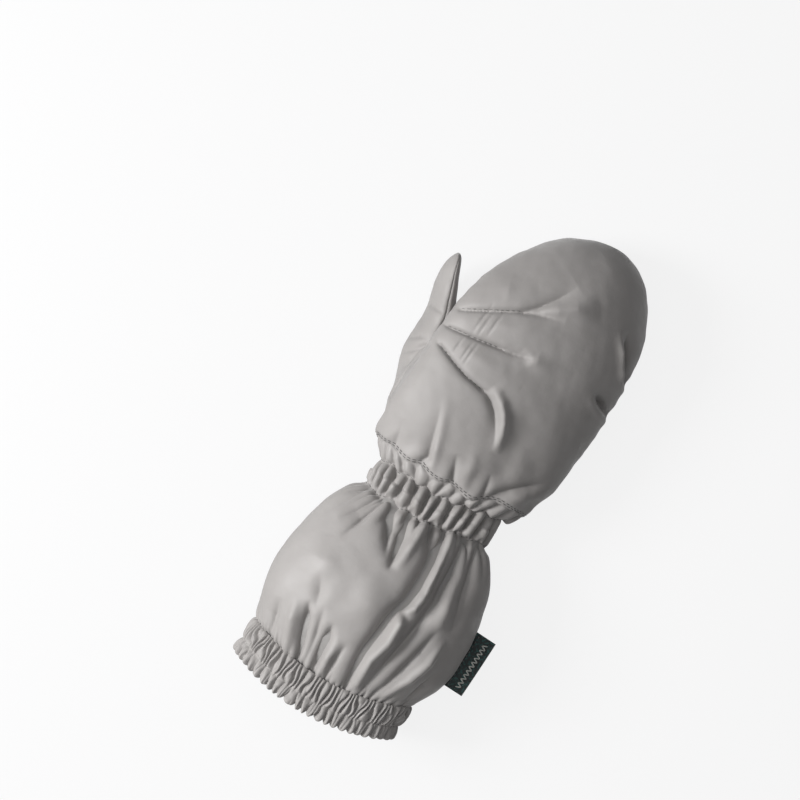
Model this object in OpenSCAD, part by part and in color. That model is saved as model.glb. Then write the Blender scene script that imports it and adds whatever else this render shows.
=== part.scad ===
// Insulated ski mitten with a long ballooned gauntlet, for the right hand of a small child.
// It lies palm down: +Y runs from the cuff to the fingertip, +Z is up, the thumb is on the -X side.
// The origin is on the surface that the mitten lies on, in the middle of its width and length.

/* [Cuff] */
// Width across the gathered cuff rim
cuff_w = 75; // [70:1:79]
// Height of the cuff rim as the mitten lies
cuff_h = 34; // [30:1:38]
// Length of the elastic hem casing
hem_l = 15; // [13:1:18]

/* [Gauntlet] */
// Width across the ballooned gauntlet
gauntlet_w = 89; // [84:1:93]
// Height of the gauntlet as the mitten lies
gauntlet_h = 50; // [46:1:54]
// Length from the hem casing to the gathered wrist
gauntlet_l = 74; // [66:1:82]

/* [Wrist] */
// Width across the gathered wrist
wrist_w = 58; // [54:1:62]
// Height of the gathered wrist as the mitten lies
wrist_h = 29; // [26:1:32]
// Length of the gathered wrist
wrist_l = 18; // [16:1:21]

/* [Hand] */
// Length from the wrist to the fingertip
hand_l = 122; // [114:1:130]
// Width across the hand
hand_w = 79; // [75:1:83]
// Height of the back of the hand over the surface that the mitten lies on
hand_h = 47; // [44:1:52]

/* [Thumb] */
// Length of the thumb from its root to its tip
thumb_l = 70; // [62:1:74]
// Broad width of the thumb
thumb_w = 27; // [25:1:29]
// Narrow width of the thumb
thumb_t = 19; // [18:1:20]
// How far the thumb reaches to the side of the middle line
thumb_reach = 52; // [51:0.5:53]

/* [Fabric] */
// Thickness of the shell fabric with its backing
shell_t = 0.6; // [0.4:0.1:0.8]
// Thickness of the insulation in the hand
fill_t = 5.4; // [4:0.2:6]
// Thickness of the fleece lining in the hand
lining_t = 1.5; // [1:0.1:2]

/* [Label] */
// Length of the woven tab along the side seam
tab_l = 25.5; // [20:0.5:30]
// How far the tab reaches to the side of the middle line
tab_reach = 52; // [51:0.5:53]

/* [Hidden] */

shell_grey = [0.50, 0.49, 0.48];
thread_grey = [0.28, 0.27, 0.27];
fill_white = [0.92, 0.92, 0.90];
fleece_grey = [0.62, 0.61, 0.60];
elastic_white = [0.85, 0.85, 0.84];
tab_green = [0.06, 0.09, 0.09];

// Where each section starts, measured from the cuff rim along the mitten.
wrist_s = hem_l + gauntlet_l;
hand_s = wrist_s + wrist_l;
mitten_l = hand_s + hand_l;
thumb_s = hand_s + 13;

// Heights over the surface that the mitten lies on.
cuff_rise = 6;
wrist_rise = 9;
seam_z = 23;

// How far below the surface each soft underside would hang if the surface weren't there.
gauntlet_sink = 18;
palm_sink = 8;

// The hand is widest this far past the wrist, and its fingertip rounds off from there.
broad_s = hand_s + 55;
tip_l = mitten_l - broad_s;
thumb_side_z = 34;
little_side_z = 17;
fingertip_z = 12;
palm_roundness = 1.5;

// Layers, as depths below the outer surface.
hand_layers = [0, shell_t, shell_t + fill_t, shell_t + fill_t + lining_t];
thumb_fill_t = 2.4;
thumb_lining_t = 0.8;
thumb_layers = [0, shell_t, shell_t + thumb_fill_t, shell_t + thumb_fill_t + thumb_lining_t];
gauntlet_lining_t = 0.8;
elastic_t = 1.0;
thread_d = 0.5;

// Sixteen steps round each half ring would be smooth; ten keep the solids light.
half_ring = 10;
step_a = 180 / half_ring;

function mix(a, b, f) = a + (b - a) * f;
function limit(f) = max(0, min(1, f));
function ease(f) = limit(f) * limit(f) * (3 - 2 * limit(f));
function swell(f) = pow(max(0, sin(180 * limit(f))), 0.7);
function round_off(f) = sqrt(max(0, 1 - limit(f) * limit(f)));

// A section is [middle x, half width, thumb-side seam z, other seam z, top z, underside z, fullness].
function cuff_section() = [0, cuff_w / 2, seam_z, seam_z, cuff_rise + cuff_h, cuff_rise, 1];
function wrist_section() = [-1, wrist_w / 2, seam_z, seam_z, wrist_rise + wrist_h, wrist_rise, 1];

function gauntlet_section(s) =
    let (f = (s - hem_l) / gauntlet_l, a = cuff_section(), b = wrist_section(), middle = mix(a, b, 0.45))
    [
        mix(a[0], b[0], f),
        mix(a[1], b[1], f) + (gauntlet_w / 2 - middle[1]) * swell(f),
        seam_z,
        seam_z,
        mix(a[4], b[4], f) + (gauntlet_h - middle[4]) * swell(f),
        mix(a[5], b[5], f) - gauntlet_sink * swell(f),
        1
    ];

function hand_section(s) =
    let (
        from_wrist = s - hand_s,
        flare = pow(sin(90 * limit(from_wrist / 38)), 0.6),
        past = (s - broad_s) / tip_l,
        rise = ease(from_wrist / 22),
        fall = ease(past)
    )
    [
        mix(-1, 5, ease(from_wrist / hand_l)),
        max(5, mix(wrist_w, hand_w, flare) / 2 * round_off(past)),
        mix(mix(seam_z, thumb_side_z, rise), fingertip_z, fall),
        mix(mix(seam_z, little_side_z, rise), fingertip_z, fall),
        mix(wrist_rise + wrist_h, hand_h, ease(from_wrist / 35)),
        mix(wrist_rise, -palm_sink, rise),
        round_off(past)
    ];

// A point of a section, a degrees round from the little-finger seam over the top, t below the surface.
function section_point(section, s, a, t, roundness = 1) =
    let (
        seam = mix(section[3], section[2], (1 - cos(a)) / 2),
        middle = (section[2] + section[3]) / 2,
        top = seam + section[6] * (section[4] - middle - t) * sin(a),
        under = seam - section[6] * (middle - section[5] - t) * pow(abs(sin(a)), roundness)
    )
    [section[0] + (section[1] - t) * cos(a), s - mitten_l / 2, a <= 180 ? top : max(t, under)];

// Fabric layers thin out towards the wrist and keep their depth at the fingertip.
function layer_share(s) = mix(0.35, 1, ease((s - hand_s) / 25));

function hand_point(s, a, t) =
    let (
        depth = t * layer_share(s),
        inset_s = s > broad_s ? broad_s + (s - broad_s) * (tip_l - t) / tip_l : s
    )
    section_point(hand_section(s), inset_s, a, depth, palm_roundness);

function gauntlet_point(s, a, t) = section_point(gauntlet_section(s), s, a, t);

// The thumb is an oval tube that leans under the palm, closed along a short seam at its tip.
thumb_lean = 55;
thumb_tip_s = thumb_s + thumb_l;
thumb_round_s = thumb_tip_s - 20;
thumb_root_x = -33;
thumb_root_z = 17.5;
thumb_tip_drift = 1.8;
thumb_steps = 7;

function thumb_point(s, a, t) =
    let (
        f = (s - thumb_s) / thumb_l,
        past = (s - thumb_round_s) / (thumb_tip_s - thumb_round_s),
        inset_s = s > thumb_round_s ? thumb_round_s + (s - thumb_round_s) * (1 - t / 20) : s,
        full = mix(0.8, 1, ease(f / 0.45)),
        long = max(4, (thumb_w / 2 * full - t) * round_off(past)),
        short = (thumb_t / 2 * full - t) * round_off(past),
        half_x = norm([(thumb_w / 2) * cos(thumb_lean), (thumb_t / 2) * sin(thumb_lean)]),
        half_z = norm([(thumb_w / 2) * sin(thumb_lean), (thumb_t / 2) * cos(thumb_lean)]),
        x = mix(thumb_root_x, half_x - thumb_reach, ease(f / 0.5)) - thumb_tip_drift * ease(past),
        z = mix(thumb_root_z, half_z, ease(f / 0.5)),
        u = long * cos(a),
        v = short * sin(a)
    )
    [
        x - u * cos(thumb_lean) + v * sin(thumb_lean),
        inset_s - mitten_l / 2,
        z + u * sin(thumb_lean) + v * cos(thumb_lean)
    ];

// Rows of points for one layer surface, at each place along the mitten and each angle round it.
function hand_rows(places, angles, t) = [for (s = places) [for (a = angles) hand_point(s, a, t)]];
function gauntlet_rows(places, angles, t) = [for (s = places) [for (a = angles) gauntlet_point(s, a, t)]];
function thumb_rows(places, angles, t) = [for (s = places) [for (a = angles) thumb_point(s, a, t)]];

function flat_list(rows) = [for (row = rows) each row];

// A closed sheet between two matching grids of points. With wrap, the last column meets the first.
// hole is [first row, end row, first column, end column] of the cells left out.
module sheet(outer, inner, wrap = false, hole = [0, 0, 0, 0]) {
    rows = len(outer);
    columns = len(outer[0]);
    cells = wrap ? columns : columns - 1;
    count = rows * columns;
    function index(j, i) = j * columns + (i + columns) % columns;
    function in_hole(j, i) = j >= hole[0] && j < hole[1] && i >= hole[2] && i < hole[3];
    function filled(j, i) = j >= 0 && j < rows - 1 && (wrap || (i >= 0 && i < cells)) && !in_hole(j, i);
    function wall(p, q) = [[p, q, q + count], [p, q + count, p + count]];
    faces = [
        for (j = [0 : rows - 2], i = [0 : cells - 1]) if (filled(j, i))
            let (a = index(j, i), b = index(j, i + 1), c = index(j + 1, i + 1), d = index(j + 1, i))
            each concat(
                [[a, b, c], [a, c, d], [a + count, c + count, b + count], [a + count, d + count, c + count]],
                filled(j - 1, i) ? [] : wall(b, a),
                filled(j + 1, i) ? [] : wall(d, c),
                filled(j, i - 1) ? [] : wall(a, d),
                filled(j, i + 1) ? [] : wall(c, b)
            )
    ];
    polyhedron(concat(flat_list(outer), flat_list(inner)), faces);
}

back_angles = [for (i = [0 : half_ring]) i * step_a];
palm_angles = [for (i = [0 : half_ring]) 180 + i * step_a];
ring_angles = [for (i = [0 : 2 * half_ring - 1]) i * step_a];

// Places along the hand: its topstitched seam, then up to its broadest line and closer to the fingertip.
topstitch_s = hand_s + 3;
hand_places = concat(
    [hand_s, topstitch_s],
    [for (f = [0.22, 0.38, 0.58, 0.79]) mix(hand_s, broad_s, f)],
    [for (a = [0 : 11.25 : 90]) broad_s + tip_l * sin(a)]
);
gauntlet_places = [for (f = [0, 0.05, 0.13, 0.26, 0.42, 0.6, 0.76, 0.88, 0.95, 1]) mix(hem_l, wrist_s, f)];
thumb_places = concat(
    [for (f = [0, 0.25, 0.5, 0.75]) mix(thumb_s, thumb_round_s, f)],
    [for (a = [0, 22.5, 45, 67.5, 90]) thumb_round_s + (thumb_tip_s - thumb_round_s) * sin(a)]
);

// The opening in the palm side through which the thumb is reached.
thumb_hole = [2, 5, 0, 4];

module back_layer(from, to) {
    sheet(hand_rows(hand_places, back_angles, from), hand_rows(hand_places, back_angles, to));
}

module palm_layer(from, to) {
    sheet(
        hand_rows(hand_places, palm_angles, from),
        hand_rows(hand_places, palm_angles, to),
        hole = thumb_hole
    );
}

module back_shell() color(shell_grey) back_layer(hand_layers[0], hand_layers[1]);
module palm_shell() color(shell_grey) palm_layer(hand_layers[0], hand_layers[1]);
module back_insulation() color(fill_white) back_layer(hand_layers[1], hand_layers[2]);
module palm_insulation() color(fill_white) palm_layer(hand_layers[1], hand_layers[2]);
module back_lining() color(fleece_grey) back_layer(hand_layers[2], hand_layers[3]);
module palm_lining() color(fleece_grey) palm_layer(hand_layers[2], hand_layers[3]);

// The thumb's two halves meet along its edges, n layers below the outer surface.
module thumb_panel(turn, n) {
    angles = [for (i = [0 : thumb_steps]) turn + i * 180 / thumb_steps];
    sheet(
        thumb_rows(thumb_places, angles, thumb_layers[n]),
        thumb_rows(thumb_places, angles, thumb_layers[n + 1])
    );
}

module thumb_back_shell() color(shell_grey) thumb_panel(0, 0);
module thumb_face_shell() color(shell_grey) thumb_panel(180, 0);
module thumb_back_insulation() color(fill_white) thumb_panel(0, 1);
module thumb_face_insulation() color(fill_white) thumb_panel(180, 1);
module thumb_back_lining() color(fleece_grey) thumb_panel(0, 2);
module thumb_face_lining() color(fleece_grey) thumb_panel(180, 2);

module gauntlet_panel(angles) {
    sheet(gauntlet_rows(gauntlet_places, angles, 0), gauntlet_rows(gauntlet_places, angles, shell_t));
}

module gauntlet_back_panel() color(shell_grey) gauntlet_panel(back_angles);
module gauntlet_palm_panel() color(shell_grey) gauntlet_panel(palm_angles);
module gauntlet_lining() color(fleece_grey) sheet(
    gauntlet_rows(gauntlet_places, ring_angles, shell_t),
    gauntlet_rows(gauntlet_places, ring_angles, shell_t + gauntlet_lining_t),
    wrap = true
);

// A band of a straight tube with the given section, between two places and two depths.
module band(section, from_s, to_s, outer_t, inner_t) {
    function outline(t) = [for (a = ring_angles) let (p = section_point(section, 0, a, t)) [p[0], p[2]]];
    translate([0, to_s - mitten_l / 2, 0]) rotate([90, 0, 0]) linear_extrude(to_s - from_s) difference() {
        polygon(outline(outer_t));
        polygon(outline(inner_t));
    }
}

// Three flat elastics run round the wrist between its sleeve and its lining.
elastic_w = 4;
elastic_pitch = wrist_l / 3;
wrist_gap = 0.3;

module wrist_sleeve() color(shell_grey) band(wrist_section(), wrist_s, hand_s - wrist_gap, 0, shell_t);
module wrist_elastic(n) color(elastic_white) {
    middle_s = wrist_s + elastic_pitch * (n + 0.5);
    band(wrist_section(), middle_s - elastic_w / 2, middle_s + elastic_w / 2, shell_t, shell_t + elastic_t);
}
module wrist_lining() color(fleece_grey) {
    inner = shell_t + elastic_t;
    band(wrist_section(), wrist_s, hand_s - wrist_gap, inner, inner + gauntlet_lining_t);
}
module wrist_stitch_rows() color(thread_grey) for (n = [0 : 2]) {
    middle_s = wrist_s + elastic_pitch * (n + 0.5);
    band(wrist_section(), middle_s - thread_d / 2, middle_s + thread_d / 2, -thread_d, 0);
}

// The hem is folded round a broad elastic and sewn through in two rows.
hem_elastic_w = hem_l - 3;
rim_t = 0.8;
hem_inner_t = shell_t + elastic_t;

module hem_casing() color(shell_grey) {
    band(cuff_section(), 0, rim_t, 0, hem_inner_t + shell_t);
    band(cuff_section(), rim_t, hem_l, 0, shell_t);
    band(cuff_section(), rim_t, hem_l, hem_inner_t, hem_inner_t + shell_t);
}
module hem_elastic() color(elastic_white) {
    band(cuff_section(), 1.5, 1.5 + hem_elastic_w, shell_t, hem_inner_t);
}
module hem_stitch_rows() color(thread_grey) for (f = [1 / 3, 2 / 3]) {
    band(cuff_section(), f * hem_l - thread_d / 2, f * hem_l + thread_d / 2, -thread_d, 0);
}

// One stitch lies along the line between two points.
module stitch(p, q) {
    d = q - p;
    translate(p) rotate([0, acos(d[2] / norm(d)), atan2(d[1], d[0])]) {
        cylinder(h = norm(d), d = thread_d, $fn = 24);
    }
}

// The threads lie on the shell: a positive lift is above its surface, where the hand flares out steeply.
topstitch_lift = 0.5;
dart_stitch_lift = 0.35;
stitch_share = 0.7;
stitches_per_side = 3;

module hand_seam_topstitch() color(thread_grey) for (a = ring_angles, n = [0 : stitches_per_side - 1]) {
    depth = -topstitch_lift / layer_share(topstitch_s);
    p = hand_point(topstitch_s, a, depth);
    q = hand_point(topstitch_s, a + step_a, depth);
    start = (n + (1 - stitch_share) / 2) / stitches_per_side;
    stitch(mix(p, q, start), mix(p, q, start + stitch_share / stitches_per_side));
}

// Each dart runs from the thumb crotch over the back: [start s, start angle, end s, end angle].
dart_ends = [[171, 166, 183, 116], [162, 168, 167, 108], [153, 164, 147, 108]];
dart_stitch_n = 8;

function dart_point(dart, f) = hand_point(
    hand_s + (mix(dart[0], dart[2], f) - 107) * hand_l / 122,
    mix(dart[1], dart[3], f),
    -dart_stitch_lift
);

module dart_stitches() color(thread_grey) for (dart = dart_ends, n = [0 : dart_stitch_n - 1]) {
    stitch(dart_point(dart, n / dart_stitch_n), dart_point(dart, (n + stitch_share) / dart_stitch_n));
}

// The tab is a folded woven ribbon that turns about the line where the side seam holds it.
tab_s = hem_l + gauntlet_l / 2 - 0.5;
tab_t = 0.8;
tab_root_d = 1.4;
tab_root_x = gauntlet_w / 2 + 0.3 + tab_root_d / 2;

module label_tab() color(tab_green) translate([tab_root_x, tab_s - mitten_l / 2, seam_z]) {
    translate([0, -tab_l / 2, 0]) rotate([-90, 0, 0]) cylinder(h = tab_l, d = tab_root_d, $fn = 32);
    translate([0, -tab_l / 2, -tab_t / 2]) cube([tab_reach - tab_root_x, tab_l, tab_t]);
}

module label_stitches() color(thread_grey) translate([tab_root_x + 1.2, tab_s - mitten_l / 2, seam_z]) {
    for (n = [0 : 7]) translate([0, (n - 3.5) * 3, tab_t / 2]) {
        rotate([-90, 0, 0]) translate([0, -thread_d / 2, -1]) cylinder(h = 2, d = thread_d, $fn = 24);
    }
}

back_shell();
palm_shell();
back_insulation();
palm_insulation();
back_lining();
palm_lining();
hand_seam_topstitch();
dart_stitches();
thumb_back_shell();
thumb_face_shell();
thumb_back_insulation();
thumb_face_insulation();
thumb_back_lining();
thumb_face_lining();
wrist_sleeve();
for (n = [0 : 2]) wrist_elastic(n);
wrist_lining();
wrist_stitch_rows();
gauntlet_back_panel();
gauntlet_palm_panel();
gauntlet_lining();
hem_casing();
hem_elastic();
hem_stitch_rows();
label_tab();
label_stitches();
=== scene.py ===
"""Looks of a child's insulated ski mitten: a puffed satin hand with three darts and a thumb, a gathered
wrist, a ballooned gauntlet, a shirred elastic hem and a woven side tab. It lies palm down on a pale floor."""
import math

import bpy
import numpy as np
from mathutils import Matrix, Vector


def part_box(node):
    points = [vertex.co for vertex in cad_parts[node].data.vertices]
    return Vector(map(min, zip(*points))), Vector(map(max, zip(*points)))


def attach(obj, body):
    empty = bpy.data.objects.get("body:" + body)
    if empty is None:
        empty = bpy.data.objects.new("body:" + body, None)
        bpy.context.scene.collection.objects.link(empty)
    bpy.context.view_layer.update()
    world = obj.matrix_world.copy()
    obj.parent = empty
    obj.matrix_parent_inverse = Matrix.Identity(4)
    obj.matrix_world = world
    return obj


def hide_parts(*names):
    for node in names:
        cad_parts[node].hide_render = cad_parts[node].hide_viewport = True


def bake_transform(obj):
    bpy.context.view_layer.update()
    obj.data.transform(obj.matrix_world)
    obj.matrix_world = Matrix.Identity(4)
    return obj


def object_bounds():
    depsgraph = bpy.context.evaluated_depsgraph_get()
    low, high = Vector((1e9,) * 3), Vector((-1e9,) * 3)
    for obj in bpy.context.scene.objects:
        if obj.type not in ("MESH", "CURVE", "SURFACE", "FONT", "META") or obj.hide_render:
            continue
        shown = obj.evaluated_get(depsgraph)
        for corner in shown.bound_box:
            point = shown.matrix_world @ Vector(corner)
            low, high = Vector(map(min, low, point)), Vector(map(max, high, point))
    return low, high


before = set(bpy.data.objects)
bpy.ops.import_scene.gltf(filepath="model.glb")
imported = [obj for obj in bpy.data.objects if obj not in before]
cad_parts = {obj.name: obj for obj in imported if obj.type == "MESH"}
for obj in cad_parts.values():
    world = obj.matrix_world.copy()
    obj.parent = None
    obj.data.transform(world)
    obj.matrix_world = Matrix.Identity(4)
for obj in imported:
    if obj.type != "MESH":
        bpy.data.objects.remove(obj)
cad_low, cad_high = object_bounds()

# Shapes are worked out in millimetres. s is the distance from the cuff rim towards the fingertip.
MM = 0.001
LENGTH = (cad_high.y - cad_low.y) / MM
HEM_TOP = (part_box("hem_casing")[1].y - cad_low.y) / MM
FLOOR_GAP = 0.3


# ---- curves and noise
def smooth(f):
    """Eases from 0 to 1 as f goes from 0 to 1."""
    f = np.clip(f, 0, 1)
    return f * f * (3 - 2 * f)


def bell(distance, width):
    """Falls from 1 towards 0 on both sides of a place."""
    return np.exp(-((distance / width) ** 2))


def way_along(line):
    """How far each point of a line is from its start."""
    return np.r_[0, np.cumsum(np.linalg.norm(np.diff(line, axis=0), axis=1))]


def on_floor(points):
    """Lifts what would go through the floor, in place."""
    points[..., 2] = np.maximum(points[..., 2], FLOOR_GAP)


def curve(stations, s):
    """A smooth curve through the stations (place, value), read at the places s."""
    places, values = np.array(stations, float).T
    slopes = np.gradient(values, places)
    k = np.clip(np.searchsorted(places, s) - 1, 0, len(places) - 2)
    gap = places[k + 1] - places[k]
    t = np.clip((s - places[k]) / gap, 0, 1)
    return (
        (2 * t**3 - 3 * t**2 + 1) * values[k]
        + (t**3 - 2 * t**2 + t) * gap * slopes[k]
        + (3 * t**2 - 2 * t**3) * values[k + 1]
        + (t**3 - t**2) * gap * slopes[k + 1]
    )


def lumps(points, size, seed, octaves=3):
    """Smooth noise, mostly between -1 and 1, whose lumps are about size across."""
    rng = np.random.default_rng(seed)
    total = np.zeros(points.shape[:-1])
    for octave in range(octaves):
        for _ in range(8):
            direction = rng.normal(size=3)
            direction *= 2**octave * math.pi / size / np.linalg.norm(direction)
            total += np.sin(points @ direction + rng.uniform(0, 2 * math.pi)) * 0.5**octave
    return total / 4


def normals_of(grid, wrap):
    """Outward unit normals of a grid. Its columns go round from +x over the top, and its rows go along s."""
    if wrap:
        across = np.roll(grid, -1, 1) - np.roll(grid, 1, 1)
    else:
        across = np.gradient(grid, axis=1)
    normal = np.cross(np.gradient(grid, axis=0), across)
    return normal / np.maximum(np.linalg.norm(normal, axis=-1, keepdims=True), 1e-9)


def plan_distance(x, s, line):
    """Distance in plan from a line of (x, s) points, and the share of the way along it."""
    lengths = np.linalg.norm(np.diff(line, axis=0), axis=1)
    before = np.r_[0, np.cumsum(lengths)]
    best = np.full(x.shape, 1e9)
    share = np.zeros(x.shape)
    for k, length in enumerate(lengths):
        way = (line[k + 1] - line[k]) / length
        dx, ds = x - line[k][0], s - line[k][1]
        t = np.clip(dx * way[0] + ds * way[1], 0, length)
        distance = np.hypot(dx - t * way[0], ds - t * way[1])
        nearer = distance < best
        best = np.where(nearer, distance, best)
        share = np.where(nearer, (before[k] + t) / before[-1], share)
    return best, share


def fold(x, s, sharpness, stations):
    """A fold along a line in plan. Each station is (x, s, height, width), and a negative height is a valley.
    A sharpness of 1 gives a pinched crease and 2 a rounded one."""
    stations = np.array(stations, float)
    d, share = plan_distance(x, s, stations[:, :2])
    way = way_along(stations[:, :2])
    height = np.interp(share * way[-1], way, stations[:, 2])
    width = np.interp(share * way[-1], way, stations[:, 3])
    return height * np.exp(-((np.abs(d) / width) ** sharpness))


def all_folds(x, s, folds):
    """Heights of several folds, added up."""
    return sum(fold(x, s, sharpness, stations) for sharpness, stations in folds)


# ---- cloth
def pull(a, b, rest, share, free_a, free_b):
    """Moves pairs of points towards their rest distance, in place."""
    gap = b - a
    length = np.sqrt((gap * gap).sum(-1))
    total = np.maximum(free_a + free_b, 1e-6)
    move = (share * (length - rest) / np.maximum(length, 1e-6) / total)[..., None] * gap
    a += move * free_a[..., None]
    b -= move * free_b[..., None]


def pull_around(grid, free, step, rest, share):
    """Pulls each point and the one that is step columns on."""
    for start in range(2 * step):
        turned, loose, lengths = (np.roll(table, -start, 1) for table in (grid, free, rest))
        near, far = slice(0, None, 2 * step), slice(step, None, 2 * step)
        pull(turned[:, near], turned[:, far], lengths[:, near], share, loose[:, near], loose[:, far])
        grid[:] = np.roll(turned, start, 1)


def pull_along(grid, free, step, rest, share, shift=0):
    """Pulls each point and the one that is step rows and shift columns on."""
    for start in range(2 * step):
        b = np.roll(grid[start + step :: 2 * step], -shift, 1)
        n = len(b)
        a = grid[start :: 2 * step][:n]
        loose_b = np.roll(free[start + step :: 2 * step], -shift, 1)
        pull(a, b, rest[start :: 2 * step][:n], share, free[start :: 2 * step][:n], loose_b)
        grid[start + step :: 2 * step] = np.roll(b, shift, 1)


def apart(a, b):
    """Distance from each point of a to its partner in b."""
    return np.linalg.norm(b - a, axis=-1)


def settle(grid, held_rows, steps, pressure, bend, rounds=4):
    """Settles a tube of gathered cloth. The cloth keeps its lengths, is held at its stitched rows, is blown
    up by each row's own pressure, resists bending and can't go through the floor."""
    free = np.ones(grid.shape[:2])
    free[held_rows] = 0
    held = grid[held_rows].copy()
    speed = np.zeros_like(grid)
    across = apart(grid, np.roll(grid, -1, 1))
    along = apart(grid[:-1], grid[1:])
    rising = apart(grid[:-1], np.roll(grid[1:], -1, 1))
    falling = apart(grid[:-1], np.roll(grid[1:], 1, 1))
    two_across = across + np.roll(across, -1, 1)
    four_across = two_across + np.roll(two_across, -2, 1)
    two_along = along[:-1] + along[1:]
    fastest, kept, stiff, sheared = 0.5, 0.9, 0.9, 0.3
    for _ in range(steps):
        before = grid.copy()
        grid += kept * speed + normals_of(grid, True) * (pressure[:, None] * free)[..., None]
        for _ in range(rounds):
            pull_around(grid, free, 1, across, stiff)
            pull_along(grid, free, 1, along, stiff)
            pull_along(grid, free, 1, rising, sheared, shift=1)
            pull_along(grid, free, 1, falling, sheared, shift=-1)
            pull_around(grid, free, 2, two_across, bend)
            pull_around(grid, free, 4, four_across, bend * 0.4)
            pull_along(grid, free, 2, two_along, bend)
            on_floor(grid)
            grid[held_rows] = held
        speed = grid - before
        pace = np.linalg.norm(speed, axis=-1, keepdims=True)
        speed *= np.minimum(1, fastest / np.maximum(pace, 1e-9))
    return grid


# ---- meshes
def mesh_piece(name, points, faces, material, uv=None):
    """A smooth-shaded piece from points in millimetres, with s already turned into y."""
    mesh = bpy.data.meshes.new(name)
    mesh.from_pydata((np.asarray(points) * MM).tolist(), [], faces)
    mesh.polygons.foreach_set("use_smooth", [True] * len(mesh.polygons))
    if uv is not None:
        layer = mesh.uv_layers.new(name="cloth")
        layer.data.foreach_set("uv", np.asarray(uv, np.float32).ravel())
    mesh.materials.append(material)
    mesh.update()
    piece = bpy.data.objects.new(name, mesh)
    bpy.context.scene.collection.objects.link(piece)
    return piece


def grid_piece(name, grid, material, cell, wrap=False):
    """A piece from a grid of points. Its cloth coordinates count millimetres of cloth, cell apart."""
    rows, columns = grid.shape[:2]
    index = np.arange(rows * columns).reshape(rows, columns)
    last = columns if wrap else columns - 1
    j, i = np.meshgrid(np.arange(rows - 1), np.arange(last), indexing="ij")
    k = (i + 1) % columns
    faces = np.stack([index[j, i], index[j + 1, i], index[j + 1, k], index[j, k]], -1).reshape(-1, 4)
    corners = np.stack([np.stack([i + di, j + dj], -1) for di, dj in ((0, 0), (0, 1), (1, 1), (1, 0))], -2)
    return mesh_piece(name, grid.reshape(-1, 3), faces.tolist(), material, corners * cell * MM)


def to_frame(grid):
    """Turns s into the frame's y, in millimetres."""
    moved = grid.copy()
    moved[..., 1] = slant(grid) + cad_low.y / MM
    return moved


def slant(grid):
    """Moves s to lay the rows as they are sewn. The wrist runs on at the little-finger side and the hem at
    both its sides, the hand's seam hangs in arcs with one step, and the elastic's rows wander a little."""
    x, s = grid[..., 0], grid[..., 1]
    at_wrist = smooth((s - 70) / 20) * (1 - smooth((s - 112) / 22))
    at_hem = 1 - smooth((s - 14) / 30)
    at_seam = bell(s - HAND_SEAM, 4.5)
    arcs = 1.4 * np.abs(np.sin(math.pi * (x + 29) / 14)) * smooth((x + 30) / 2) * (1 - smooth((x - 11) / 3))
    step = 2.4 * bell(x - 11, 5)
    wander = 0.8 * np.sin(0.75 * x + 1) * bell(s - HIGH_ROW, 3)
    wander += 0.7 * np.sin(0.62 * x) * bell(s - LOW_ROW, 3)
    askew = 5 * smooth((x + 6) / 30) * at_wrist + 7 * ((x + 6) / 38) ** 2 * at_hem
    return s + askew + wander - (arcs + step) * at_seam


def capsules(name, starts, ends, radius, material, sides=8):
    """One piece of many short threads, each rounded at both ends."""
    rings = [(0.0, 0.15), (0.08, 0.75), (0.25, 1.0), (0.75, 1.0), (0.92, 0.75), (1.0, 0.15)]
    points, faces = [], []
    turns = 2 * math.pi * np.arange(sides) / sides
    for a, b in zip(starts, ends):
        way = (b - a) / np.linalg.norm(b - a)
        side = np.cross(way, (0, 0, 1.0) if abs(way[2]) < 0.9 else (1.0, 0, 0))
        side /= np.linalg.norm(side)
        up = np.cross(side, way)
        first = len(points)
        for share, size in rings:
            middle = a + (b - a) * share
            for turn in turns:
                points.append(middle + radius * size * (side * math.cos(turn) + up * math.sin(turn)))
        for r in range(len(rings) - 1):
            for k in range(sides):
                m = (k + 1) % sides
                low, high = first + r * sides, first + (r + 1) * sides
                faces.append((low + k, low + m, high + m, high + k))
        faces.append(tuple(first + k for k in range(sides))[::-1])
        faces.append(tuple(first + (len(rings) - 1) * sides + k for k in range(sides)))
    return mesh_piece(name, points, faces, material)


# ---- materials
def new_material(name, colour, roughness):
    """A material, its nodes and links, and its shader with the constants set on it."""
    material = bpy.data.materials.new(name)
    material.use_nodes = True
    nodes, links = material.node_tree.nodes, material.node_tree.links
    shader = nodes["Principled BSDF"]
    shader.inputs["Base Color"].default_value = (*colour, 1)
    shader.inputs["Roughness"].default_value = roughness
    return material, nodes, links, shader


def noise_node(nodes, links, vector, scale, detail=3.0):
    """Noise, read at vector."""
    node = nodes.new("ShaderNodeTexNoise")
    node.inputs["Scale"].default_value = scale
    node.inputs["Detail"].default_value = detail
    links.new(vector, node.inputs["Vector"])
    return node.outputs["Fac"]


def ramp_node(nodes, links, factor, low, high, colour_low, colour_high):
    """One colour turning into another as factor goes from low to high."""
    node = nodes.new("ShaderNodeValToRGB")
    node.color_ramp.elements[0].position = low
    node.color_ramp.elements[1].position = high
    node.color_ramp.elements[0].color = (*colour_low, 1)
    node.color_ramp.elements[1].color = (*colour_high, 1)
    links.new(factor, node.inputs["Fac"])
    return node.outputs["Color"]


def bump_node(nodes, links, height, strength, distance, under=None):
    """A bumped normal, on top of the one under it."""
    node = nodes.new("ShaderNodeBump")
    node.inputs["Strength"].default_value = strength
    node.inputs["Distance"].default_value = distance
    links.new(height, node.inputs["Height"])
    if under is not None:
        links.new(under, node.inputs["Normal"])
    return node.outputs["Normal"]


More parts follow.
